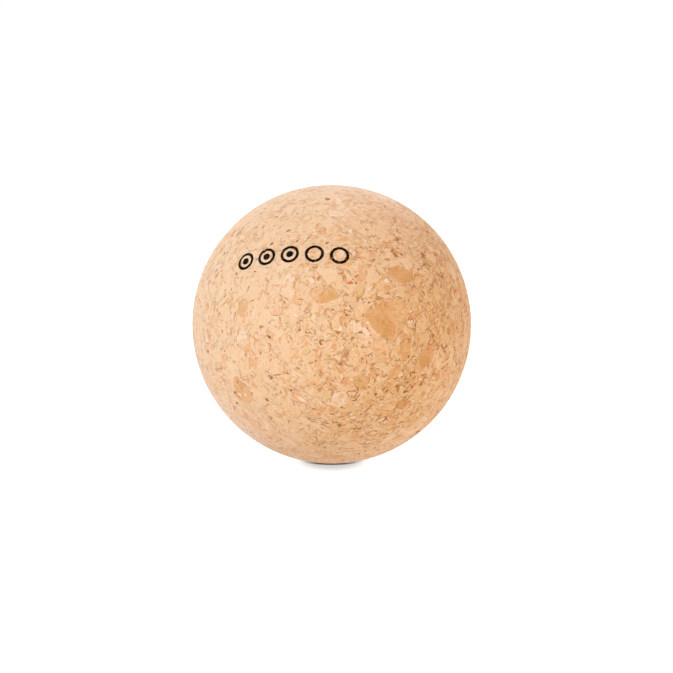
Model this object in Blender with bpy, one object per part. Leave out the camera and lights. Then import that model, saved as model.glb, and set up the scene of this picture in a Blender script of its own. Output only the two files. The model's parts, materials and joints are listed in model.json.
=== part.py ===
"""Cork massage ball, 65 mm across: a bonded fine-grain body, the large cork granules that show
in its surface, each in its own socket, and a printed firmness scale of rings and dots."""

import math
import random

import bmesh
import bpy
from mathutils import Vector

# The ball, in metres. Its centre is the origin, +Z is up and the printed side faces -Y.
BALL_RADIUS = 0.0325
BALL_SUBDIVISIONS = 5
GAP = 0.0003

# The block is pressed along this direction, so every granule is flattened along it.
PRESSING = Vector((0.38, -0.92, 0.10)).normalized()
FLATNESS = 0.48

# Large granules: corners of one lump, how far a corner strays, and how deep the lump reaches.
LUMP_CORNERS = 17
CORNER_NEAR = 0.80
CORNER_FAR = 1.12
DEPTH_SHARE = 0.42
RAISE_SHARE = 0.12
SHADE_SMOOTH_ANGLE = math.radians(32)

# Granules on the printed side: name, azimuth from -Y towards +X and elevation in degrees,
# width and height in metres, tilt in degrees, tone.
FRONT_GRANULES = (
    ("granule_front_large", 22.2, 11.9, 0.0110, 0.0096, 12, "amber"),
    ("granule_front_upper_right", 31.0, 27.8, 0.0066, 0.0042, -14, "amber"),
    ("granule_front_upper", -3.4, 21.7, 0.0068, 0.0042, 8, "amber"),
    ("granule_front_centre", 8.7, 8.9, 0.0034, 0.0028, 5, "pale"),
    ("granule_front_lower_oval", -7.6, -19.1, 0.0034, 0.0052, 18, "tan"),
    ("granule_front_lower_plate", 3.2, -20.2, 0.0044, 0.0038, -8, "pale"),
    ("granule_front_upper_left", -22.8, 16.6, 0.0036, 0.0054, 10, "tan"),
    ("granule_front_low_brown", 11.5, -12.4, 0.0040, 0.0030, -20, "brown"),
    ("granule_front_right", 40.1, -5.0, 0.0040, 0.0056, -18, "amber"),
    ("granule_front_low_right", 31.9, -24.1, 0.0034, 0.0028, -40, "brown"),
    ("granule_front_left", -38.0, 14.6, 0.0026, 0.0044, 6, "brown"),
)

# Granules over the rest of the ball: how many, their widths, and the room left between two.
REST_GRANULES = 31
REST_SEED = 41
REST_WIDTHS = (0.0046, 0.0082)
REST_CLEARANCE = 0.0022
REST_TRIES = 4000
REST_TONES = ("pale", "tan", "amber", "tan", "brown", "pale", "amber")
FRONT_SEED = 7

# The printed scale: five rings along a row, the first three with a dot inside.
SCALE_AZIMUTH = -20.7
SCALE_ELEVATION = 37.4
SCALE_TILT = 7.1
SCALE_PITCH = 0.0055
RING_OUTER = 0.0021
RING_INNER = 0.00145
DOT_RADIUS = 0.0008
PRINT_THICKNESS = 0.0003
RINGS = 5
DOTS = 3
RING_SEGMENTS = 24
DOT_SEGMENTS = 16
CUTTER_RISE = 0.001

# Colour and roughness of each tone.
TONES = {
    "fine": ((0.78, 0.56, 0.36, 1.0), 0.82),
    "pale": ((0.86, 0.69, 0.49, 1.0), 0.80),
    "tan": ((0.76, 0.53, 0.32, 1.0), 0.82),
    "amber": ((0.80, 0.47, 0.22, 1.0), 0.78),
    "brown": ((0.52, 0.29, 0.14, 1.0), 0.84),
    "print": ((0.012, 0.011, 0.011, 1.0), 0.55),
}


def clear_scene():
    for item in list(bpy.data.objects):
        bpy.data.objects.remove(item, do_unlink=True)


def make_material(name, tone):
    colour, roughness = TONES[tone]
    material = bpy.data.materials.new(name)
    material.use_nodes = True
    shader = material.node_tree.nodes["Principled BSDF"]
    shader.inputs["Base Color"].default_value = colour
    shader.inputs["Roughness"].default_value = roughness
    shader.inputs["Metallic"].default_value = 0.0
    return material


def add_object(name, bm, tone=None):
    """A scene object from bm. Without a tone it is a cutter, which isn't rendered."""
    bmesh.ops.recalc_face_normals(bm, faces=bm.faces)
    mesh = bpy.data.meshes.new(name)
    bm.to_mesh(mesh)
    bm.free()
    item = bpy.data.objects.new(name, mesh)
    bpy.context.scene.collection.objects.link(item)
    if tone is None:
        item.hide_render = True
        item.display_type = "WIRE"
        return item
    mesh.materials.append(make_material(name + "_finish", tone))
    mesh.shade_smooth()
    return item


def add_boolean(item, operation, cutter):
    modifier = item.modifiers.new(operation.lower(), "BOOLEAN")
    modifier.operation = operation
    modifier.object = cutter
    modifier.solver = "EXACT"


def direction(azimuth, elevation):
    """Unit vector at these angles in degrees, with azimuth counted from -Y towards +X."""
    turn = math.radians(azimuth)
    rise = math.radians(elevation)
    level = math.cos(rise)
    return Vector((level * math.sin(turn), -level * math.cos(turn), math.sin(rise)))


def tangents(outward, tilt):
    """The two directions across the surface at outward, turned by tilt degrees."""
    east = Vector((0, 0, 1)).cross(outward).normalized()
    north = outward.cross(east)
    turn = math.radians(tilt)
    across = east * math.cos(turn) + north * math.sin(turn)
    return across, outward.cross(across)


def ball_bmesh():
    bm = bmesh.new()
    bmesh.ops.create_icosphere(bm, subdivisions=BALL_SUBDIVISIONS, radius=BALL_RADIUS)
    return bm


def lump_corners(draw):
    """Corners of a rough pebble of radius about 1: evenly spread, each moved in or out."""
    corners = []
    golden = math.pi * (3 - math.sqrt(5))
    spin = draw.uniform(0, 2 * math.pi)
    for index in range(LUMP_CORNERS):
        z = 1 - 2 * (index + 0.5) / LUMP_CORNERS
        ring = math.sqrt(1 - z * z)
        turn = spin + golden * index + draw.uniform(-0.3, 0.3)
        corner = Vector((ring * math.cos(turn), ring * math.sin(turn), z))
        corners.append((corner, draw.uniform(CORNER_NEAR, CORNER_FAR)))
    return corners


def add_lump(bm, granule, growth):
    """Adds the granule's pebble to bm as a closed hull, grown by this many metres."""
    outward = granule["outward"]
    centre = outward * (BALL_RADIUS - RAISE_SHARE * granule["depth"])
    halves = (granule["width"] / 2, granule["height"] / 2, granule["depth"])
    axes = (granule["across"], granule["up"], outward)
    made = []
    for corner, reach in granule["corners"]:
        place = centre.copy()
        for axis, half, share in zip(axes, halves, corner):
            place += axis * share * (half * reach + growth)
        made.append(bm.verts.new(place))
    hull = bmesh.ops.convex_hull(bm, input=made)
    bmesh.ops.delete(bm, geom=hull["geom_interior"], context="VERTS")


def front_granules():
    draw = random.Random(FRONT_SEED)
    found = []
    for name, azimuth, elevation, width, height, tilt, tone in FRONT_GRANULES:
        outward = direction(azimuth, elevation)
        across, up = tangents(outward, tilt)
        found.append(
            {
                "name": name,
                "outward": outward,
                "across": across,
                "up": up,
                "width": width,
                "height": height,
                "depth": DEPTH_SHARE * min(width, height),
                "corners": lump_corners(draw),
                "tone": tone,
            }
        )
    return found


def region(outward):
    """The side of the ball that outward points to, in one word."""
    if abs(outward.z) > 0.75:
        return "top" if outward.z > 0 else "bottom"
    if abs(outward.x) > abs(outward.y):
        return "right" if outward.x > 0 else "left"
    return "back" if outward.y > 0 else "front"


def pressed_granule(draw, name, outward, width, tone):
    """A granule flattened along the pressing direction: round seen end on, a streak seen edge on."""
    across = PRESSING.cross(outward).normalized()
    up = outward.cross(across)
    facing = abs(PRESSING.dot(outward))
    edge = math.sqrt(1 - facing * facing)
    height = width * (FLATNESS + (1 - FLATNESS) * facing)
    depth = width * DEPTH_SHARE * (FLATNESS + (1 - FLATNESS) * edge)
    return {
        "name": name,
        "outward": outward,
        "across": across,
        "up": up,
        "width": width,
        "height": height,
        "depth": depth,
        "corners": lump_corners(draw),
        "tone": tone,
    }


def has_room(outward, half, taken):
    for other, other_half in taken:
        arc = BALL_RADIUS * outward.angle(other)
        if arc < half + other_half + REST_CLEARANCE:
            return False
    return True


def rest_granules(taken):
    """Granules over the rest of the ball, kept clear of those in taken."""
    draw = random.Random(REST_SEED)
    counts = {}
    found = []
    for _ in range(REST_TRIES):
        z = draw.uniform(-1, 1)
        turn = draw.uniform(0, 2 * math.pi)
        width = draw.uniform(*REST_WIDTHS)
        if len(found) == REST_GRANULES:
            break
        ring = math.sqrt(1 - z * z)
        outward = Vector((ring * math.cos(turn), ring * math.sin(turn), z))
        if not has_room(outward, width / 2, taken):
            continue
        taken.append((outward, width / 2))
        side = region(outward)
        counts[side] = counts.get(side, 0) + 1
        name = "granule_%s_%d" % (side, counts[side])
        tone = REST_TONES[len(found) % len(REST_TONES)]
        found.append(pressed_granule(draw, name, outward, width, tone))
    return found


def scale_places():
    """Outward, across and up at each ring of the printed scale, along one great circle."""
    middle = direction(SCALE_AZIMUTH, SCALE_ELEVATION)
    along, up = tangents(middle, SCALE_TILT)
    places = []
    for index in range(RINGS):
        turn = (index - (RINGS - 1) / 2) * SCALE_PITCH / BALL_RADIUS
        outward = middle * math.cos(turn) + along * math.sin(turn)
        across = along * math.cos(turn) - middle * math.sin(turn)
        places.append((outward, across, up))
    return places


def surface_loop(bm, place, reach, radius, segments):
    """A loop of vertices at arc distance reach round place, this far from the ball's centre."""
    outward, across, up = place
    tip = reach / BALL_RADIUS
    loop = []
    for index in range(segments):
        turn = 2 * math.pi * index / segments
        side = across * math.cos(turn) + up * math.sin(turn)
        loop.append(bm.verts.new(radius * (outward * math.cos(tip) + side * math.sin(tip))))
    return loop


def bridge(bm, first, second):
    for index, vertex in enumerate(first):
        after = (index + 1) % len(first)
        bm.faces.new((vertex, first[after], second[after], second[index]))


def cap(bm, loop, place, radius):
    tip = bm.verts.new(radius * place[0])
    for index, vertex in enumerate(loop):
        bm.faces.new((vertex, loop[(index + 1) % len(loop)], tip))


def add_disc(bm, place, reach, low, high, segments):
    """A closed round plug from radius low to radius high."""
    bottom = surface_loop(bm, place, reach, low, segments)
    top = surface_loop(bm, place, reach, high, segments)
    bridge(bm, bottom, top)
    cap(bm, bottom, place, low)
    cap(bm, top, place, high)


def add_ring(bm, place, low, high):
    """A closed ring from radius low to radius high."""
    loops = (
        surface_loop(bm, place, RING_OUTER, low, RING_SEGMENTS),
        surface_loop(bm, place, RING_OUTER, high, RING_SEGMENTS),
        surface_loop(bm, place, RING_INNER, high, RING_SEGMENTS),
        surface_loop(bm, place, RING_INNER, low, RING_SEGMENTS),
    )
    for index, loop in enumerate(loops):
        bridge(bm, loop, loops[(index + 1) % len(loops)])


def make_print(places):
    low = BALL_RADIUS - PRINT_THICKNESS
    for index, place in enumerate(places):
        bm = bmesh.new()
        add_ring(bm, place, low, BALL_RADIUS)
        add_object("printed_ring_%d" % (index + 1), bm, "print")
        if index < DOTS:
            bm = bmesh.new()
            add_disc(bm, place, DOT_RADIUS, low, BALL_RADIUS, DOT_SEGMENTS)
            add_object("printed_dot_%d" % (index + 1), bm, "print")


def make_granules(granules):
    form = add_object("ball_form", ball_bmesh())
    for granule in granules:
        bm = bmesh.new()
        add_lump(bm, granule, 0)
        item = add_object(granule["name"], bm, granule["tone"])
        add_boolean(item, "INTERSECT", form)


def make_body(granules, places):
    sockets = bmesh.new()
    for granule in granules:
        add_lump(sockets, granule, GAP * 1.2)
    floor = BALL_RADIUS - PRINT_THICKNESS - GAP
    for place in places:
        reach = RING_OUTER + GAP
        add_disc(sockets, place, reach, floor, BALL_RADIUS + CUTTER_RISE, RING_SEGMENTS)
    cutter = add_object("socket_cutter", sockets)
    body = add_object("fine_grain_body", ball_bmesh(), "fine")
    add_boolean(body, "DIFFERENCE", cutter)


def sharpen():
    """Keeps the edges of sockets, granules and print sharp, and the ball's own surface smooth."""
    bpy.context.view_layer.update()
    graph = bpy.context.evaluated_depsgraph_get()
    for item in list(bpy.data.objects):
        if item.hide_render:
            continue
        mesh = bpy.data.meshes.new_from_object(item.evaluated_get(graph))
        item.modifiers.clear()
        item.data = mesh
        mesh.set_sharp_from_angle(angle=SHADE_SMOOTH_ANGLE)


def main():
    clear_scene()
    places = scale_places()
    granules = front_granules()
    taken = [(place[0], RING_OUTER) for place in places]
    for granule in granules:
        taken.append((granule["outward"], max(granule["width"], granule["height"]) / 2))
    granules += rest_granules(taken)
    make_print(places)
    make_granules(granules)
    make_body(granules, places)
    sharpen()


main()
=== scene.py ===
"""Cork massage ball: the looks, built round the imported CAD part.

The ball's skin is a dense sphere whose relief (steps between chips, seams, pits) comes from the
same node pattern as its colour, so that the two coincide. The large granules are cut out of a
second, calmer skin and sit in sockets in the first, each with its own seam. The printed rings and
dots are thin layers let into the body."""

import json
import math

import bmesh
import bpy
import numpy as np
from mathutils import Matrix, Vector, noise


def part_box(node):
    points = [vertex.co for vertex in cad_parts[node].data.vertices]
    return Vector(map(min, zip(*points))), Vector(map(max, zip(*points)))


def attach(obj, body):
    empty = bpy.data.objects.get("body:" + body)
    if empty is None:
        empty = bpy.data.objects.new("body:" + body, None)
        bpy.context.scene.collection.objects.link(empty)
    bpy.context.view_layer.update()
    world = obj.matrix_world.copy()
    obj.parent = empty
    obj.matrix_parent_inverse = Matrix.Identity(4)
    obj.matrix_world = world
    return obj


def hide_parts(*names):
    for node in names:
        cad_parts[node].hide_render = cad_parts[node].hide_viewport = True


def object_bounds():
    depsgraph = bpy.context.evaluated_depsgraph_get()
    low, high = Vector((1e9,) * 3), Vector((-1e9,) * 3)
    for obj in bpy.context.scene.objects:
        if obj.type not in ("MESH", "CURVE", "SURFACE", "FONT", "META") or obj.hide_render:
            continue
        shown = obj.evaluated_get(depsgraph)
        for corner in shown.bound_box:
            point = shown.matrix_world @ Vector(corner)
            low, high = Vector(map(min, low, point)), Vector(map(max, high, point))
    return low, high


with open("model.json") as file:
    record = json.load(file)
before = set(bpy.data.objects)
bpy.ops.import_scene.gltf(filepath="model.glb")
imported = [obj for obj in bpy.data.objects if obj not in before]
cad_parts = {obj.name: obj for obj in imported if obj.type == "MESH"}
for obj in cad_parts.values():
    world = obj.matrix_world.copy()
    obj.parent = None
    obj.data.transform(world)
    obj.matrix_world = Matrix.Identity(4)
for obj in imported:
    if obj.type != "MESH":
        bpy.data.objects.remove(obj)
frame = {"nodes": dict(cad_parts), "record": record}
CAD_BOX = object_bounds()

# Sizes in metres unless a name says otherwise. The ball's centre is the origin.
RADIUS = (CAD_BOX[1].z - CAD_BOX[0].z) / 2
MM = 0.001
PER_MM = 1000.0
SKIN_CELLS = 122

# The large granules: how far a lump stands outside the ball before it is cut flush, how much it
# fills of the CAD socket, and the wobble of its outline.
LUMP_RISE = 0.9 * MM
LUMP_FILL = 0.16 * MM
LUMP_CUTS = 6
LUMP_WOBBLE = ((450.0, 0.26 * MM), (1500.0, 0.10 * MM))
# Blender's own noise_vector differs from run to run, so three shifted noises take its place.
WOBBLE_SHIFTS = (Vector((0.0, 0.0, 0.0)), Vector((31.4, 17.2, 5.9)), Vector((11.7, 43.1, 23.8)))
LUMP_FACE_DEPTH = 0.1 * MM
LUMP_FLAT_ANGLE = math.radians(4)
SEAM_LEAST = 0.012 * MM
SEAM_MOST = 0.085 * MM
SEAM_SCALE = 600.0
SHARP_ANGLE = math.radians(38)

# The print: how deep it sits, how far it stands proud, and the wobble of its edge.
PRINT_DEPTH = 0.12 * MM
PRINT_RISE = 0.012 * MM
PRINT_SEAM = 0.006 * MM
PRINT_WOBBLE = ((1900.0, 0.045 * MM),)
PRINT_SEGMENTS = 120
PRINT_HOLLOW = 0.1

# The cork pattern. Its lengths are in mm, and a noise is (scale per mm, detail, roughness). A
# drift is (scale per mm, reach in mm, detail).
# The block is pressed along this direction, so the grain is flattened along it.
PRESSING = Vector((0.38, -0.92, 0.10)).normalized()
# Noises of every scale share the cell walls through their origin, so it is moved off the ball.
PATTERN_SHIFT = (137.0, 263.0, 311.0)
BEND_DRIFT = (0.15, 4.5)
ROUGH_DRIFTS = ((0.55, 1.05, 1.0), (2.6, 0.30, 2.0))
GRAIN_FLATTENING = 3.4
TONE_NOISE = (0.42, 3.0, 0.62)
TONE_RANGE = (0.22, 0.78)
HUE_NOISE = (0.30, 2.0)
# Seams come and go along their length.
BROKEN_NOISE = (0.9, 2.0)
BROKEN_RANGE = (0.52, 0.61)
STEP_HEIGHT = 0.05
SEAM_HEIGHT = -0.05

# Liveliness: a slow noise, a lean across the ball, and more of it round the coarsest part.
LIVE_NOISE = (0.09, 1.0)
LIVE_LEAN = (0.0170, -0.0020, -0.0070)
LIVE_RANGE = (0.38, 0.88)
COARSE_SPOT = (20.0, -24.0, -7.0)
COARSE_REACH = (5.0, 15.0)
COARSE_EXTRA = 0.40
GRANULE_LIVE = 0.38
# What liveliness changes: a value in the calmest grain, and one in the liveliest.
HUE_VARIETY = (0.84, 1.0)
TONE_SWING = (0.34, 0.98)
SEAM_STRENGTH = (0.62, 1.0)
PLATE_CHANCE = (0.40, 0.28)
BARK_CHANCE = (0.16, 0.60)
PALE_CHANCE = (0.16, 0.34)
PIT_LEAST = (0.90, 0.72)
SPECK_LEAST = (0.93, 0.80)

# Bits are packed edge to edge: size, flattening, weight over what is below, and seam strength.
BODY_BITS = ((2.6, 2.2, 0.42, 0.72), (1.15, 2.6, 0.45, 0.62))
GRANULE_BITS = ((1.15, 2.6, 0.40, 0.5),)
BIT_EDGE = (0.02, 0.075)
# Chips lie apart, the fine ones over the coarse ones: cell size, chance, half width, half
# thickness, how far the axis strays from the pressing direction, and contrast.
CHIPS = (
    (5.0, 0.38, 2.7, 1.30, 1.2, 0.45),
    (2.9, 0.50, 1.6, 0.55, 1.1, 0.65),
    (1.6, 0.62, 0.98, 0.26, 1.2, 1.10),
    (0.9, 0.72, 0.56, 0.14, 1.3, 2.00),
)
GRANULE_CHIPS = CHIPS[2:]
BARK_CHIP = (0.72, 0.14, 1.5)
PALE_CHIP = (0.62, 0.16, 1.6)
SLIVER_CELL = 1.5
BARK_HEIGHT = -0.05
# A chip's reach from its middle, its edge and its rim are shares of its half width.
CHIP_REACH_LEAST = 0.62
CHIP_REACH_MORE = 0.55
CHIP_EDGE = (0.86, 1.0)
CHIP_COVER = 0.8
RIM_INSIDE = (0.80, 0.94)
RIM_OUTSIDE = (1.0, 1.16)
RIM_SIDE = (0.10, 0.65)
STREAK_FLATTENING = 3.6
STREAK_APART = 80.0
STREAK_NOISE = (1.3, 3.0, 0.62)
# Plates are calm, angular granules that cover the small chips in some places.
PLATE_SIZE = 3.1
PLATE_FLATTENING = 1.9
PLATE_DRIFT = (2.2, 0.22, 2.0)
PLATE_EDGE = (0.025, 0.045)
PLATE_LINE = (0.015, 0.055)
PLATE_COVER = 0.74
PLATE_TONE = (0.60, 0.46)
PLATE_HUE = (0.48, 0.5)
# Pits: cell size, largest reach and height.
BODY_PIT = (1.9, 0.30, -0.22)
BODY_SPECK = (1.1, 0.24)
GRANULE_PIT = (1.6, 0.24, -0.10)
GRANULE_PIT_LEAST = 0.84
PIT_DRIFT = (3.0, 0.5, 2.0)
PIT_FLATTENING = 2.0
PIT_PICKS = (0.70, 1.0)
PIT_SMALLEST = 0.05
PIT_FLOOR = 0.45


def linear(red, green, blue):
    """A colour given as 0 to 255 display values, as linear red, green, blue and alpha."""
    made = []
    for value in (red, green, blue):
        share = value / 255
        made.append(share / 12.92 if share <= 0.04045 else ((share + 0.055) / 1.055) ** 2.4)
    return (*made, 1.0)


class Graph:
    """Adds nodes to a shader tree or a geometry tree. A value is a socket or a number."""

    def __init__(self, tree):
        self.tree = tree

    def node(self, kind, **settings):
        made = self.tree.nodes.new(kind)
        for name, value in settings.items():
            setattr(made, name, value)
        return made

    def feed(self, socket, value):
        if isinstance(value, bpy.types.NodeSocket):
            self.tree.links.new(value, socket)
        elif value is not None:
            socket.default_value = value

    def math(self, operation, first, second=None, third=None):
        made = self.node("ShaderNodeMath", operation=operation)
        for socket, value in zip(made.inputs, (first, second, third)):
            self.feed(socket, value)
        return made.outputs[0]

    def times(self, first, second):
        return self.math("MULTIPLY", first, second)

    def most(self, first, second):
        return self.math("MAXIMUM", first, second)

    def swung(self, value, times, middle):
        """How far value is from 0.5, so many times, added to middle."""
        return self.math("MULTIPLY_ADD", self.math("SUBTRACT", value, 0.5), times, middle)

    def vector(self, operation, first, second=None):
        made = self.node("ShaderNodeVectorMath", operation=operation)
        if operation == "SCALE":
            self.feed(made.inputs["Vector"], first)
            self.feed(made.inputs["Scale"], second)
        else:
            self.feed(made.inputs[0], first)
            self.feed(made.inputs[1], second)
        return made.outputs["Value" if operation in ("DOT_PRODUCT", "LENGTH") else "Vector"]

    def noise_node(self, place, scale, detail, roughness=0.5):
        made = self.node("ShaderNodeTexNoise")
        self.feed(made.inputs["Vector"], place)
        made.inputs["Scale"].default_value = scale
        made.inputs["Detail"].default_value = detail
        made.inputs["Roughness"].default_value = roughness
        return made

    def noise(self, place, settings):
        """A noise from 0 to 1, from settings of scale, detail and perhaps roughness."""
        return self.noise_node(place, *settings).outputs[0]

    def cells(self, place, size, feature="F1"):
        made = self.node("ShaderNodeTexVoronoi", feature=feature)
        self.feed(made.inputs["Vector"], place)
        made.inputs["Scale"].default_value = 1 / size
        made.inputs["Randomness"].default_value = 1.0
        return made

    def ramp(self, value, low, high, start=0.0, end=1.0):
        """start at low, end at high, and a smooth step in between."""
        made = self.node("ShaderNodeMapRange", interpolation_type="SMOOTHSTEP")
        for index, item in enumerate((value, low, high, start, end)):
            self.feed(made.inputs[index], item)
        return made.outputs[0]

    def fall(self, value, low, high):
        """1 at low, 0 at high, and a smooth step in between."""
        return self.ramp(value, low, high, 1.0, 0.0)

    def span(self, share, ends):
        """The first of ends where share is 0, the second where it is 1."""
        return self.ramp(share, 0.0, 1.0, *ends)

    def mix(self, share, first, second):
        made = self.node("ShaderNodeMix", data_type="FLOAT")
        self.feed(made.inputs[0], share)
        self.feed(made.inputs[2], first)
        self.feed(made.inputs[3], second)
        return made.outputs[0]

    def blend(self, share, first, second):
        """Colour first where share is 0, and colour second where it is 1."""
        made = self.node("ShaderNodeMix", data_type="RGBA", blend_type="MIX")
        made.clamp_factor = True
        self.feed(made.inputs[0], share)
        self.feed(made.inputs[6], first)
        self.feed(made.inputs[7], second)
        return made.outputs[2]

    def split(self, colour):
        made = self.node("ShaderNodeSeparateXYZ")
        self.feed(made.inputs[0], colour)
        return made.outputs

    def tones(self, value, stops, interpolation="LINEAR"):
        """A colour ramp through (place, colour) stops."""
        made = self.node("ShaderNodeValToRGB")
        made.color_ramp.interpolation = interpolation
        elements = made.color_ramp.elements
        while len(elements) > 1:
            elements.remove(elements[-1])
        elements[0].position, elements[0].color = stops[0]
        for place, colour in stops[1:]:
            elements.new(place).color = colour
        self.feed(made.inputs[0], value)
        return made.outputs[0]


def centred(graph, colour):
    """A random colour as a vector whose parts run from -0.5 to 0.5."""
    return graph.vector("SUBTRACT", colour, (0.5, 0.5, 0.5))


def drifted(graph, place, scale, reach, detail=1.0):
    """place moved by smooth noise, at most about half of reach each way."""
    drift = graph.noise_node(place, scale, detail).outputs["Color"]
    return graph.vector("ADD", place, graph.vector("SCALE", centred(graph, drift), reach))


def flattened(graph, place, times):
    """place stretched along the pressing direction, so that a pattern on it is flattened."""
    along = graph.vector("DOT_PRODUCT", place, tuple(PRESSING))
    push = graph.vector("SCALE", tuple(PRESSING), graph.times(along, times - 1))
    return graph.vector("ADD", place, push)


def flakes(graph, place, size, chance, wide, thin, stray):
    """Flat chips of cork, one in some of the cells of this size: a dict of masks and picks.

    Each chip is a disc, wide across and thin along its own axis, which strays from the pressing
    direction. rim is a dark crescent along part of its outline."""
    cell = graph.cells(place, size)
    picks = graph.split(cell.outputs["Color"])
    white = graph.node("ShaderNodeTexWhiteNoise", noise_dimensions="3D")
    graph.feed(white.inputs["Vector"], cell.outputs["Position"])
    random_side = centred(graph, white.outputs["Color"])
    axis = graph.vector("ADD", graph.vector("SCALE", random_side, stray), tuple(PRESSING))
    axis = graph.vector("NORMALIZE", axis)
    local = graph.vector("SUBTRACT", place, cell.outputs["Position"])
    along = graph.vector("DOT_PRODUCT", local, axis)
    whole = graph.vector("DOT_PRODUCT", local, local)
    along_squared = graph.times(along, along)
    across_squared = graph.math("SUBTRACT", whole, along_squared)
    spread = graph.times(across_squared, 1 / wide ** 2)
    spread = graph.math("MULTIPLY_ADD", along_squared, 1 / thin ** 2, spread)
    reach = graph.math("MULTIPLY_ADD", picks[0], CHIP_REACH_MORE, CHIP_REACH_LEAST)
    spread = graph.math("DIVIDE", graph.math("SQRT", spread), reach)
    there = graph.math("LESS_THAN", white.outputs["Value"], chance)
    found = {"tone": picks[1], "hue": picks[2]}
    found["mask"] = graph.times(graph.fall(spread, *CHIP_EDGE), there)
    dark_side = graph.vector("NORMALIZE", centred(graph, cell.outputs["Color"]))
    side = graph.vector("DOT_PRODUCT", graph.vector("NORMALIZE", local), dark_side)
    band = graph.times(graph.ramp(spread, *RIM_INSIDE), graph.fall(spread, *RIM_OUTSIDE))
    band = graph.times(band, graph.ramp(side, *RIM_SIDE))
    found["rim"] = graph.times(band, there)
    push = graph.vector("SCALE", axis, graph.times(along, STREAK_FLATTENING))
    apart = graph.vector("SCALE", random_side, STREAK_APART)
    inner = graph.vector("ADD", graph.vector("ADD", local, push), apart)
    found["streak"] = graph.noise(inner, STREAK_NOISE)
    return found


def packed(graph, place, size, times):
    """Angular cells packed edge to edge: three picks for each, and how near its edge is."""
    flat = flattened(graph, place, times)
    picks = graph.split(graph.cells(flat, size).outputs["Color"])
    edge = graph.cells(flat, size, "DISTANCE_TO_EDGE").outputs["Distance"]
    return picks, edge


def liveliness(graph, place):
    """0 where the grain is fine and even, 1 where it is coarse and dark-flecked, in drifts."""
    drift = graph.noise(place, LIVE_NOISE)
    lean = graph.vector("DOT_PRODUCT", place, LIVE_LEAN)
    away = graph.vector("LENGTH", graph.vector("SUBTRACT", place, COARSE_SPOT))
    crowd = graph.ramp(away, *COARSE_REACH, COARSE_EXTRA, 0.0)
    live = graph.math("ADD", graph.math("ADD", drift, lean), crowd)
    return graph.ramp(live, *LIVE_RANGE)


def step_height(graph, pick):
    """How far a chip with this pick stands out or in, in mm."""
    return graph.times(graph.math("SUBTRACT", pick, 0.5), STEP_HEIGHT)


def add_bits(graph, found, bits):
    """Lays packed angular bits over the tone and the hue, and puts seams between them."""
    for size, times, weight, gate in bits:
        picks, edge = packed(graph, found["rough"], size, times)
        found["tone"] = graph.mix(weight, found["tone"], picks[0])
        found["hue"] = graph.mix(weight, found["hue"], picks[1])
        line = graph.times(graph.fall(edge, *BIT_EDGE), found["broken"])
        found["seam"] = graph.most(found["seam"], graph.times(line, gate))


def add_chips(graph, found, chips):
    """Lays flat, streaked chips over the bits, with rims in place of the seams they cover."""
    for size, chance, wide, thin, stray, contrast in chips:
        chip = flakes(graph, found["rough"], size, chance, wide, thin, stray)
        inner = graph.swung(chip["tone"], contrast, 0.5)
        inner = graph.swung(chip["streak"], 1.0, inner)
        found["tone"] = graph.mix(chip["mask"], found["tone"], inner)
        share = graph.times(chip["mask"], min(1.0, contrast))
        found["hue"] = graph.mix(share, found["hue"], chip["hue"])
        step = step_height(graph, chip["hue"])
        found["height"] = graph.mix(chip["mask"], found["height"], step)
        kept = graph.math("SUBTRACT", 1.0, graph.times(chip["mask"], CHIP_COVER))
        found["seam"] = graph.most(graph.times(found["seam"], kept), chip["rim"])


def add_plates(graph, found, live):
    """Lays calm, angular granules over some of the chips, each with a broken outline."""
    place = drifted(graph, found["bent"], *PLATE_DRIFT)
    picks, edge = packed(graph, place, PLATE_SIZE, PLATE_FLATTENING)
    there = graph.math("LESS_THAN", picks[2], graph.span(live, PLATE_CHANCE))
    mask = graph.times(graph.ramp(edge, *PLATE_EDGE), there)
    line = graph.times(graph.fall(edge, *PLATE_LINE), there)
    calm = graph.times(mask, PLATE_COVER)
    found["calm"] = calm
    found["tone"] = graph.mix(calm, found["tone"], graph.swung(picks[0], *PLATE_TONE))
    found["hue"] = graph.mix(calm, found["hue"], graph.swung(picks[1], *PLATE_HUE))
    found["height"] = graph.mix(calm, found["height"], step_height(graph, picks[1]))
    seam = graph.times(found["seam"], graph.math("SUBTRACT", 1.0, calm))
    found["seam"] = graph.most(seam, graph.times(line, found["broken"]))


def grain(graph, place, live, chips, bits, plated):
    """Bonded chips at place, in mm: tone and hue from 0 to 1, seams, and height in mm."""
    bent = drifted(graph, graph.vector("ADD", place, PATTERN_SHIFT), *BEND_DRIFT)
    rough = bent
    for drift in ROUGH_DRIFTS:
        rough = drifted(graph, rough, *drift)
    flat = flattened(graph, rough, GRAIN_FLATTENING)
    found = {"bent": bent, "rough": rough, "flat": flat, "seam": 0.0}
    found["tone"] = graph.ramp(graph.noise(flat, TONE_NOISE), *TONE_RANGE)
    found["hue"] = graph.noise(flat, HUE_NOISE)
    found["broken"] = graph.ramp(graph.noise(rough, BROKEN_NOISE), *BROKEN_RANGE)
    add_bits(graph, found, bits)
    found["height"] = step_height(graph, found["tone"])
    add_chips(graph, found, chips)
    if plated:
        add_plates(graph, found, live)
    found["hue"] = graph.swung(found["hue"], graph.span(live, HUE_VARIETY), 0.5)
    found["tone"] = graph.swung(found["tone"], graph.span(live, TONE_SWING), 0.5)
    found["height"] = graph.math("MULTIPLY_ADD", found["seam"], SEAM_HEIGHT, found["height"])
    found["seam"] = graph.times(found["seam"], graph.span(live, SEAM_STRENGTH))
    return found


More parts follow.
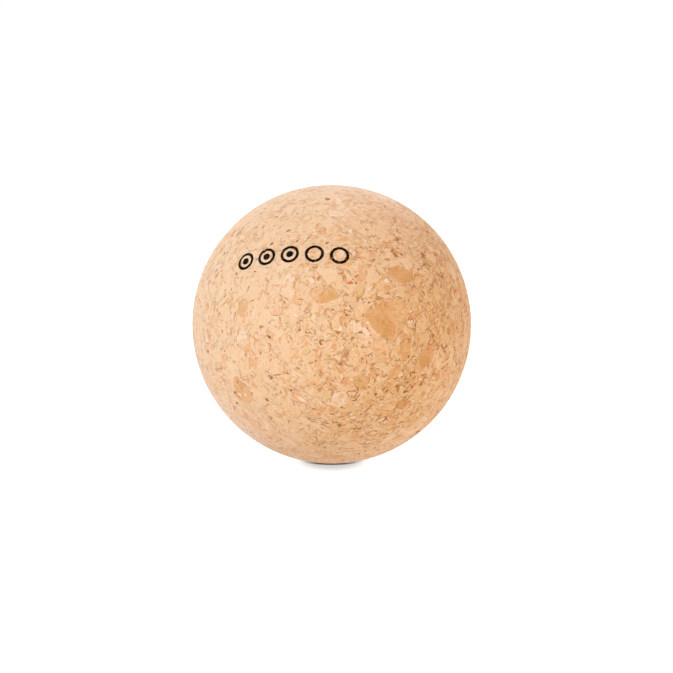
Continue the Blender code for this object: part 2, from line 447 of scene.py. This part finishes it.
def pits(graph, place, size, largest, least):
    """Ragged holes, in the cells whose pick is over least."""
    flat = flattened(graph, drifted(graph, place, *PIT_DRIFT), PIT_FLATTENING)
    hole = graph.cells(flat, size)
    pick = graph.split(hole.outputs["Color"])[0]
    reach = graph.ramp(pick, *PIT_PICKS, PIT_SMALLEST, largest)
    depth = graph.fall(hole.outputs["Distance"], graph.times(reach, PIT_FLOOR), reach)
    return graph.times(depth, graph.math("GREATER_THAN", pick, least))


def cork_pattern(graph, place):
    """The fine-grained body at place, in mm: a dict of masks, tones and height in mm."""
    live = liveliness(graph, place)
    found = grain(graph, place, live, CHIPS, BODY_BITS, True)
    rough = found["rough"]
    # Bark: dark chips, thin and flat, crowded in some parts and rare in others.
    bark = flakes(graph, rough, SLIVER_CELL, graph.span(live, BARK_CHANCE), *BARK_CHIP)
    found["bark"] = bark["mask"]
    found["bark_hue"] = bark["hue"]
    size, largest, depth = BODY_PIT
    found["pit"] = pits(graph, rough, size, largest, graph.span(live, PIT_LEAST))
    found["speck"] = pits(graph, rough, *BODY_SPECK, graph.span(live, SPECK_LEAST))
    # Pale slivers: clean bits of cork among the rest.
    pale = flakes(graph, rough, SLIVER_CELL, graph.span(live, PALE_CHANCE), *PALE_CHIP)
    found["pale"] = pale["mask"]
    sunk = graph.math("MULTIPLY_ADD", found["pit"], depth, found["height"])
    found["height"] = graph.math("MULTIPLY_ADD", found["bark"], BARK_HEIGHT, sunk)
    return found


def granule_pattern(graph, place):
    """One large granule's own structure, calmer than the body: small chips, seams and pores."""
    found = grain(graph, place, GRANULE_LIVE, GRANULE_CHIPS, GRANULE_BITS, False)
    size, largest, depth = GRANULE_PIT
    found["pit"] = pits(graph, found["rough"], size, largest, GRANULE_PIT_LEAST)
    found["height"] = graph.math("MULTIPLY_ADD", found["pit"], depth, found["height"])
    return found


def link_object(name, mesh):
    made = bpy.data.objects.new(name, mesh)
    bpy.context.scene.collection.objects.link(made)
    return made


def applied(item):
    """The object's mesh with its modifiers worked in, and the modifiers gone."""
    graph = bpy.context.evaluated_depsgraph_get()
    mesh = bpy.data.meshes.new_from_object(item.evaluated_get(graph))
    item.modifiers.clear()
    old = item.data
    item.data = mesh
    bpy.data.meshes.remove(old)
    return item


def skin(name, pattern):
    """A dense, evenly divided sphere, with the pattern's relief worked into it."""
    steps = np.tan(np.linspace(-math.pi / 4, math.pi / 4, SKIN_CELLS + 1))
    first, second = np.meshgrid(steps, steps, indexing="ij")
    ones = np.ones_like(first)
    sides = (
        (first, second, ones), (second, first, -ones),
        (ones, first, second), (-ones, second, first),
        (second, ones, first), (first, -ones, second),
    )
    points = np.concatenate([np.stack(side, -1).reshape(-1, 3) for side in sides])
    points /= np.linalg.norm(points, axis=1, keepdims=True)
    row = SKIN_CELLS + 1
    corner = (np.arange(SKIN_CELLS)[:, None] * row + np.arange(SKIN_CELLS)).reshape(-1)
    quads = np.stack([corner, corner + row, corner + row + 1, corner + 1], -1)
    faces = np.concatenate([quads + side * row * row for side in range(6)])
    _, kept, index = np.unique(
        np.round(points, 7), axis=0, return_index=True, return_inverse=True
    )
    mesh = bpy.data.meshes.new(name)
    faces = index.reshape(-1)[faces]
    mesh.from_pydata((points[kept] * RADIUS).tolist(), [], faces.tolist())
    mesh.update()
    item = link_object(name, mesh)
    modifier = item.modifiers.new("relief", "NODES")
    modifier.node_group = relief_tree(name + "_relief", pattern)
    return applied(item)


def relief_tree(name, pattern):
    """A geometry node group that moves each point in or out by the pattern's height."""
    tree = bpy.data.node_groups.new(name, "GeometryNodeTree")
    tree.interface.new_socket("Geometry", in_out="INPUT", socket_type="NodeSocketGeometry")
    tree.interface.new_socket("Geometry", in_out="OUTPUT", socket_type="NodeSocketGeometry")
    graph = Graph(tree)
    entry = graph.node("NodeGroupInput")
    leave = graph.node("NodeGroupOutput")
    place = graph.node("GeometryNodeInputPosition").outputs[0]
    found = pattern(graph, graph.vector("SCALE", place, PER_MM))
    outward = graph.vector("NORMALIZE", place)
    move = graph.vector("SCALE", outward, graph.times(found["height"], MM))
    mover = graph.node("GeometryNodeSetPosition")
    graph.feed(mover.inputs["Geometry"], entry.outputs[0])
    graph.feed(mover.inputs["Offset"], move)
    graph.feed(leave.inputs[0], mover.outputs[0])
    return tree


def wobble(place, waves):
    """A small smooth move for this place, the sum of (waves per metre, reach) noises."""
    moved = Vector((0, 0, 0))
    for scale, reach in waves:
        parts = [noise.noise(place * scale + shift) for shift in WOBBLE_SHIFTS]
        moved += Vector(parts) * reach
    return moved


def lump_mesh(node):
    """A bmesh of the granule's lump: the CAD solid, made to reach past the ball, and uneven."""
    bm = bmesh.new()
    centre = sum((v.co for v in node.data.vertices), Vector()) / len(node.data.vertices)
    made = []
    for vertex in node.data.vertices:
        place = vertex.co.copy()
        if place.length > RADIUS - LUMP_FACE_DEPTH:
            made.append(bm.verts.new(place.normalized() * (RADIUS + LUMP_RISE)))
        made.append(bm.verts.new(place))
    hull = bmesh.ops.convex_hull(bm, input=made)
    loose = [item for item in hull["geom_interior"] if isinstance(item, bmesh.types.BMVert)]
    bmesh.ops.delete(bm, geom=loose, context="VERTS")
    bmesh.ops.dissolve_limit(bm, angle_limit=LUMP_FLAT_ANGLE, verts=bm.verts, edges=bm.edges)
    bmesh.ops.triangulate(bm, faces=bm.faces)
    bmesh.ops.subdivide_edges(bm, edges=bm.edges, cuts=LUMP_CUTS, use_grid_fill=True)
    bmesh.ops.triangulate(bm, faces=bm.faces)
    bmesh.ops.recalc_face_normals(bm, faces=bm.faces)
    bm.normal_update()
    moves = [v.normal * LUMP_FILL + wobble(v.co, LUMP_WOBBLE) for v in bm.verts]
    for vertex, move in zip(bm.verts, moves):
        vertex.co += move
    bm.normal_update()
    return bm


def widened(bm):
    """Moves every point out by the seam's width, which varies along it."""
    moves = []
    for vertex in bm.verts:
        share = max(0.0, noise.noise(vertex.co * SEAM_SCALE) * 2.0)
        moves.append(vertex.normal * (SEAM_LEAST + SEAM_MOST * min(1.0, share)))
    for vertex, move in zip(bm.verts, moves):
        vertex.co += move


def joined(name, parts):
    """One object of several bmeshes."""
    whole = bmesh.new()
    for part in parts:
        mesh = bpy.data.meshes.new("part")
        part.to_mesh(mesh)
        whole.from_mesh(mesh)
        bpy.data.meshes.remove(mesh)
    mesh = bpy.data.meshes.new(name)
    whole.to_mesh(mesh)
    whole.free()
    return link_object(name, mesh)


def cut(item, operation, tool):
    modifier = item.modifiers.new("cut", "BOOLEAN")
    modifier.operation = operation
    modifier.solver = "MANIFOLD"
    modifier.object = tool
    return applied(item)


def copied(item, name):
    return link_object(name, item.data.copy())


def main_pieces():
    """The body with its sockets, all granules as one object, and the granules' names."""
    nodes = frame["nodes"]
    granules = sorted(name for name in nodes if name.startswith("granule_"))
    lumps = [lump_mesh(nodes[name]) for name in granules]
    tool = joined("granule_lumps", lumps)
    inlays = cut(skin("calm_skin", granule_pattern), "INTERSECT", tool)
    for bm in lumps:
        widened(bm)
    sockets = joined("socket_lumps", lumps)
    body = cut(skin("ball_cork", cork_pattern), "DIFFERENCE", sockets)
    for bm in lumps:
        bm.free()
    for item in (tool, sockets):
        bpy.data.objects.remove(item)
    return body, inlays, granules


def distance_to_box(points, box):
    low, high = np.array(box[0]), np.array(box[1])
    return np.linalg.norm(points - np.clip(points, low, high), axis=1)


def split_by_node(item, names):
    """Parts item's mesh into one object for each named CAD node, each face to the nearest node."""
    mesh = item.data
    bm = bmesh.new()
    bm.from_mesh(mesh)
    bmesh.ops.triangulate(bm, faces=bm.faces)
    bm.to_mesh(mesh)
    bm.free()
    points = np.empty(len(mesh.vertices) * 3)
    mesh.vertices.foreach_get("co", points)
    points = points.reshape(-1, 3)
    corners = np.empty(len(mesh.polygons) * 3, int)
    mesh.polygons.foreach_get("vertices", corners)
    corners = corners.reshape(-1, 3)
    nearest = np.argmin([distance_to_box(points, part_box(name)) for name in names], axis=0)
    owner = nearest[corners[:, 0]]
    made = {}
    for index, name in enumerate(names):
        faces = corners[owner == index]
        used, faces = np.unique(faces, return_inverse=True)
        part = bpy.data.meshes.new("cork_" + name)
        part.from_pydata(points[used].tolist(), [], faces.reshape(-1, 3).tolist())
        part.update()
        made[name] = link_object("cork_" + name, part)
    bpy.data.objects.remove(item)
    return made


def finish_mesh(item, material):
    mesh = item.data
    mesh.materials.clear()
    mesh.materials.append(material)
    mesh.shade_smooth()
    mesh.set_sharp_from_angle(angle=SHARP_ANGLE)


def new_material(name):
    material = bpy.data.materials.new(name)
    material.use_nodes = True
    graph = Graph(material.node_tree)
    shader = material.node_tree.nodes["Principled BSDF"]
    place = graph.node("ShaderNodeTexCoord").outputs["Object"]
    return material, graph, shader, graph.vector("SCALE", place, PER_MM)


CREAM = linear(217, 184, 147)
SAND = linear(214, 178, 138)
PALE = linear(211, 171, 128)
TAN = linear(204, 159, 110)
WARM = linear(195, 144, 89)
HONEY = linear(203, 154, 103)
AMBER = linear(188, 131, 70)
ORANGE = linear(196, 127, 66)
RUST = linear(180, 118, 62)
BARK = linear(150, 85, 18)
DARK = linear(124, 60, 2)
RED = linear(192, 84, 30)
SEAM = linear(164, 100, 28)
PINK = linear(224, 184, 153)
OLIVE = linear(188, 149, 76)
INK = linear(7, 6, 5)
GRANULE_TONES = {
    "pale_cork": (TAN, SAND),
    "tan_cork": (WARM, PALE),
    "amber_cork": (AMBER, HONEY),
    "brown_cork": (RUST, WARM),
}
GRANULE_TONE_ENDS = (0.22, 0.78)
BODY_TONES = ((0.0, AMBER), (0.20, WARM), (0.48, TAN), (0.84, PALE), (1.0, SAND))
SEAM_TONES = ((0.0, DARK), (0.48, BARK), (0.61, SEAM))
BARK_TONES = ((0.0, SEAM), (0.46, BARK), (0.80, DARK), (0.94, RED))
# Where the hue turns pinkish, orange or olive, and how much at most.
PINK_HUES = (0.80, 0.92)
PINK_MOST = 0.58
ORANGE_HUES = (0.60, 0.66, 0.76, 0.82)
ORANGE_MOST = 0.58
OLIVE_HUES = (0.32, 0.12)
OLIVE_MOST = 0.50
GRANULE_HUE = 0.8
# The finest grain: a noise, and how far it moves the tone, first off the plates and then on them.
BODY_FINE = (3.0, 4.0, 0.75)
BODY_FINE_DEPTH = (2.0, 1.6)
GRANULE_FINE = (2.6, 4.0, 0.70)
GRANULE_FINE_DEPTH = 1.4
# Slow changes of tone across a large granule.
GRANULE_FADE = (0.13, 1.0)
GRANULE_FADE_DEPTH = 1.8
# How much of the marks' own colours shows.
PALE_COVER = 0.56
BODY_SEAM_COVER = 0.90
BARK_COVER = 0.88
BODY_PIT_COVER = 0.84
GRANULE_SEAM_COVER = 0.80
GRANULE_PIT_COVER = 0.80
BODY_ROUGHNESS = (0.56, 0.72)
PIT_ROUGHNESS = 0.25
GRANULE_ROUGHNESS = (0.2, 0.8, 0.54, 0.70)
GRIT = (5.0, 3.0, 0.6)
GRIT_HEIGHT = 0.03
INK_WEAR = (2.6, 4.0, 0.7)
INK_WORN = (0.60, 0.68)
INK_ROUGHNESS = (0.3, 0.7, 0.60, 0.80)
INK_HEIGHT = 0.03


def shade_height(graph, shader, height):
    """Feeds the pattern's height, in mm, to the shader as a bump."""
    bump = graph.node("ShaderNodeBump")
    bump.inputs["Strength"].default_value = 1.0
    bump.inputs["Distance"].default_value = MM
    graph.feed(bump.inputs["Height"], height)
    graph.feed(shader.inputs["Normal"], bump.outputs[0])


def finish_cork(graph, shader, place, height):
    """What the body and the granules share: grit, relief and a faint dusty sheen."""
    grit = graph.noise(place, GRIT)
    shade_height(graph, shader, graph.math("MULTIPLY_ADD", grit, GRIT_HEIGHT, height))
    shader.inputs["Specular IOR Level"].default_value = 0.11
    shader.inputs["Sheen Weight"].default_value = 0.16
    shader.inputs["Sheen Roughness"].default_value = 0.5


def hued(graph, colour, hue, share):
    """Chips at the ends of the hue range turn pinkish, orange or olive."""
    pink = graph.ramp(hue, *PINK_HUES, 0.0, PINK_MOST * share)
    colour = graph.blend(pink, colour, PINK)
    orange = graph.times(graph.ramp(hue, *ORANGE_HUES[:2]), graph.fall(hue, *ORANGE_HUES[2:]))
    colour = graph.blend(graph.times(orange, ORANGE_MOST * share), colour, ORANGE)
    olive = graph.ramp(hue, *OLIVE_HUES, 0.0, OLIVE_MOST * share)
    return graph.blend(olive, colour, OLIVE)


def body_material():
    material, graph, shader, place = new_material("bonded_cork")
    found = cork_pattern(graph, place)
    fine = graph.noise(found["flat"], BODY_FINE)
    depth = graph.mix(found["calm"], *BODY_FINE_DEPTH)
    tone = graph.swung(fine, depth, found["tone"])
    colour = hued(graph, graph.tones(tone, BODY_TONES), found["hue"], 1.0)
    colour = graph.blend(graph.times(found["pale"], PALE_COVER), colour, CREAM)
    line = graph.tones(fine, SEAM_TONES, "CONSTANT")
    colour = graph.blend(graph.times(found["seam"], BODY_SEAM_COVER), colour, line)
    bark = graph.tones(found["bark_hue"], BARK_TONES, "CONSTANT")
    colour = graph.blend(graph.times(found["bark"], BARK_COVER), colour, bark)
    hole = graph.most(found["pit"], found["speck"])
    colour = graph.blend(graph.times(hole, BODY_PIT_COVER), colour, DARK)
    graph.feed(shader.inputs["Base Color"], colour)
    rough = graph.span(found["hue"], BODY_ROUGHNESS)
    rough = graph.math("MULTIPLY_ADD", found["pit"], PIT_ROUGHNESS, rough)
    graph.feed(shader.inputs["Roughness"], rough)
    finish_cork(graph, shader, place, found["height"])
    return material


def granule_material(name, tones):
    material, graph, shader, place = new_material(name)
    found = granule_pattern(graph, place)
    fine = graph.noise(found["flat"], GRANULE_FINE)
    tone = graph.swung(fine, GRANULE_FINE_DEPTH, found["tone"])
    fade = graph.noise(found["rough"], GRANULE_FADE)
    tone = graph.swung(fade, GRANULE_FADE_DEPTH, tone)
    colour = graph.tones(tone, tuple(zip(GRANULE_TONE_ENDS, tones)))
    colour = hued(graph, colour, found["hue"], GRANULE_HUE)
    colour = graph.blend(graph.times(found["seam"], GRANULE_SEAM_COVER), colour, SEAM)
    colour = graph.blend(graph.times(found["pit"], GRANULE_PIT_COVER), colour, DARK)
    graph.feed(shader.inputs["Base Color"], colour)
    graph.feed(shader.inputs["Roughness"], graph.ramp(fine, *GRANULE_ROUGHNESS))
    finish_cork(graph, shader, place, found["height"])
    return material


def ink_material():
    material, graph, shader, place = new_material("worn_ink")
    wear = graph.noise(place, INK_WEAR)
    graph.feed(shader.inputs["Base Color"], graph.blend(graph.ramp(wear, *INK_WORN), INK, SEAM))
    graph.feed(shader.inputs["Roughness"], graph.ramp(wear, *INK_ROUGHNESS))
    shade_height(graph, shader, graph.times(wear, INK_HEIGHT))
    shader.inputs["Specular IOR Level"].default_value = 0.04
    return material


def print_tool(node, growth):
    """A bmesh of the printed shape's outline, from its depth to well outside the ball."""
    bm = bmesh.new()
    points = np.array([v.co for v in node.data.vertices])
    outward = Vector(points.mean(0)).normalized()
    across = outward.orthogonal().normalized()
    up = outward.cross(across)
    tips = points / np.linalg.norm(points, axis=1, keepdims=True)
    arcs = np.arccos(np.clip(tips @ np.array(outward), -1, 1)) * RADIUS
    outer = arcs.max()
    hollow = arcs.min() > PRINT_HOLLOW * outer
    inner = arcs.min() if hollow else 0.0
    low = RADIUS - PRINT_DEPTH - growth
    high = RADIUS + LUMP_RISE

    def loop(reach, radius):
        made = []
        for index in range(PRINT_SEGMENTS):
            turn = 2 * math.pi * index / PRINT_SEGMENTS
            side = across * math.cos(turn) + up * math.sin(turn)
            edge = outward * RADIUS + side * reach
            stray = wobble(edge, PRINT_WOBBLE).dot(side)
            tip = (reach + stray) / RADIUS
            made.append(bm.verts.new(radius * (outward * math.cos(tip) + side * math.sin(tip))))
        return made

    loops = [loop(outer + growth, low), loop(outer + growth, high)]
    if hollow:
        loops += [loop(inner - growth, high), loop(inner - growth, low)]
    for index in range(len(loops) if hollow else 1):
        first, second = loops[index], loops[(index + 1) % len(loops)]
        for step, vertex in enumerate(first):
            after = (step + 1) % PRINT_SEGMENTS
            bm.faces.new((vertex, first[after], second[after], second[step]))
    if not hollow:
        bm.faces.new(loops[0][::-1])
        bm.faces.new(loops[1])
    bmesh.ops.recalc_face_normals(bm, faces=bm.faces)
    return bm


def make_print(body):
    """The printed shapes, each a thin layer let into the cork, and their recesses in the body."""
    nodes = frame["nodes"]
    names = sorted(name for name in nodes if name.startswith("printed_"))
    layer = copied(body, "ink_layer")
    for vertex in layer.data.vertices:
        vertex.co += vertex.co.normalized() * PRINT_RISE
    shapes = joined("ink_shapes", [print_tool(nodes[name], 0.0) for name in names])
    recess = joined("ink_recess", [print_tool(nodes[name], PRINT_SEAM) for name in names])
    ink = cut(layer, "INTERSECT", shapes)
    cut(body, "DIFFERENCE", recess)
    for tool in (shapes, recess):
        bpy.data.objects.remove(tool)
    return ink, names


def place_piece(piece, name):
    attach(piece, "root")
    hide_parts(name)


def build_object():
    slots = {row["node"]: row["material_slot"] for row in frame["record"]["subparts"]}
    body, inlays, granules = main_pieces()
    ink, shapes = make_print(body)
    finish_mesh(body, body_material())
    place_piece(body, "fine_grain_body")
    materials = {slot: granule_material(slot, pair) for slot, pair in GRANULE_TONES.items()}
    for name, piece in split_by_node(inlays, granules).items():
        finish_mesh(piece, materials[slots[name]])
        place_piece(piece, name)
    worn = ink_material()
    for name, piece in split_by_node(ink, shapes).items():
        piece.name = name.replace("printed", "ink")
        finish_mesh(piece, worn)
        place_piece(piece, name)


# The stage: the camera, a white table and soft light.
LENS = 85.0
CAMERA_ELEVATION = math.radians(10)
CAMERA_DISTANCE = 0.3719
AIM_RIGHT = 0.0011
AIM_DOWN = 0.00285
CLIP_NEAR = 0.01
CLIP_FAR = 20.0
FLOOR_HALF = 3.0
FLOOR_GAP = 0.05 * MM
# The contact shadow is two ovals in the floor's glow, round the contact point. Each is dark up to
# the first distance and gone at the second, and the last number narrows it in X. The dark one
# also fades out between two distances to each side in X.
SHADOW_DARK = (4.7 * MM, 5.7 * MM, 0.66)
SHADOW_FADE = (2.4 * MM, 8.4 * MM)
SHADOW_SOFT = (6.6 * MM, 13.0 * MM, 1.25)
SHADOW_LEAST = 0.02
SHADOW_GREY = 0.60
# The world glows white round the horizon and is black overhead, between these heights.
SKY_BAND = (0.30, 0.60)
# Each lamp: its name, place, size, power and colour.
LAMPS = (
    ("window", (-0.9, -0.7, 0.7), 0.3, 30.2, (0.454, 0.615, 1.0)),
    ("back_top", (0, 0.8, 0.9), 0.8, 10.4, (0.952, 1.0, 0.980)),
    ("ceiling", (0, -0.1, 1.2), 1.2, 4.1, (1.0, 0.942, 0.890)),
    ("warm_side", (1.2, -0.4, 0.3), 1.0, 5.3, (1.0, 0.865, 0.764)),
    ("warm_low", (0.9, -0.9, 0.1), 0.5, 4.9, (1.0, 0.846, 0.749)),
)


def make_camera():
    data = bpy.data.cameras.new("camera")
    data.lens = LENS
    data.clip_start = CLIP_NEAR
    data.clip_end = CLIP_FAR
    camera = bpy.data.objects.new("camera", data)
    bpy.context.scene.collection.objects.link(camera)
    back = Vector((0, -math.cos(CAMERA_ELEVATION), math.sin(CAMERA_ELEVATION)))
    up = Vector((0, math.sin(CAMERA_ELEVATION), math.cos(CAMERA_ELEVATION)))
    camera.location = back * CAMERA_DISTANCE
    aim = Vector((AIM_RIGHT, 0, 0)) - up * AIM_DOWN
    camera.rotation_mode = "QUATERNION"
    camera.rotation_quaternion = (aim - camera.location).to_track_quat("-Z", "Y")
    bpy.context.scene.camera = camera


def oval_glow(graph, place, oval, least):
    """The floor's glow round one oval of the contact shadow: least inside it, 1 outside it."""
    near, far, narrow = oval
    away = graph.vector("LENGTH", graph.vector("MULTIPLY", place, (narrow, 1.0, 1.0)))
    return graph.ramp(away, near, far, least, 1.0)


def make_floor():
    bm = bmesh.new()
    bmesh.ops.create_grid(bm, x_segments=2, y_segments=2, size=FLOOR_HALF)
    mesh = bpy.data.meshes.new("floor")
    bm.to_mesh(mesh)
    bm.free()
    floor = link_object("floor", mesh)
    floor.location.z = -RADIUS - FLOOR_GAP
    material = bpy.data.materials.new("white_table")
    material.use_nodes = True
    graph = Graph(material.node_tree)
    shader = material.node_tree.nodes["Principled BSDF"]
    shader.inputs["Base Color"].default_value = (0.10, 0.10, 0.10, 1)
    shader.inputs["Roughness"].default_value = 0.35
    shader.inputs["Emission Color"].default_value = (1, 1, 1, 1)
    place = graph.node("ShaderNodeTexCoord").outputs["Object"]
    glow = oval_glow(graph, place, SHADOW_DARK, SHADOW_LEAST)
    aside = graph.math("ABSOLUTE", graph.split(place)[0])
    glow = graph.mix(graph.ramp(aside, *SHADOW_FADE), glow, 1.0)
    soft = oval_glow(graph, place, SHADOW_SOFT, SHADOW_GREY)
    graph.feed(shader.inputs["Emission Strength"], graph.times(glow, soft))
    mesh.materials.append(material)


def add_softbox(name, place, size, power, colour):
    """A square lamp that faces the ball's centre."""
    data = bpy.data.lights.new(name, "AREA")
    data.shape = "RECTANGLE"
    data.size = data.size_y = size
    data.energy = power
    data.color = colour
    light = bpy.data.objects.new(name, data)
    bpy.context.scene.collection.objects.link(light)
    light.location = place
    light.rotation_mode = "QUATERNION"
    light.rotation_quaternion = (-Vector(place)).to_track_quat("-Z", "Y")


def make_light():
    world = bpy.data.worlds.new("studio")
    world.use_nodes = True
    graph = Graph(world.node_tree)
    backdrop = world.node_tree.nodes["Background"]
    backdrop.inputs["Color"].default_value = (1, 1, 1, 1)
    up = graph.split(graph.node("ShaderNodeTexCoord").outputs["Generated"])[2]
    graph.feed(backdrop.inputs["Strength"], graph.fall(up, *SKY_BAND))
    bpy.context.scene.world = world
    for lamp in LAMPS:
        add_softbox(*lamp)


bpy.context.scene.view_settings.view_transform = "Standard"
build_object()
make_floor()
make_light()
make_camera()
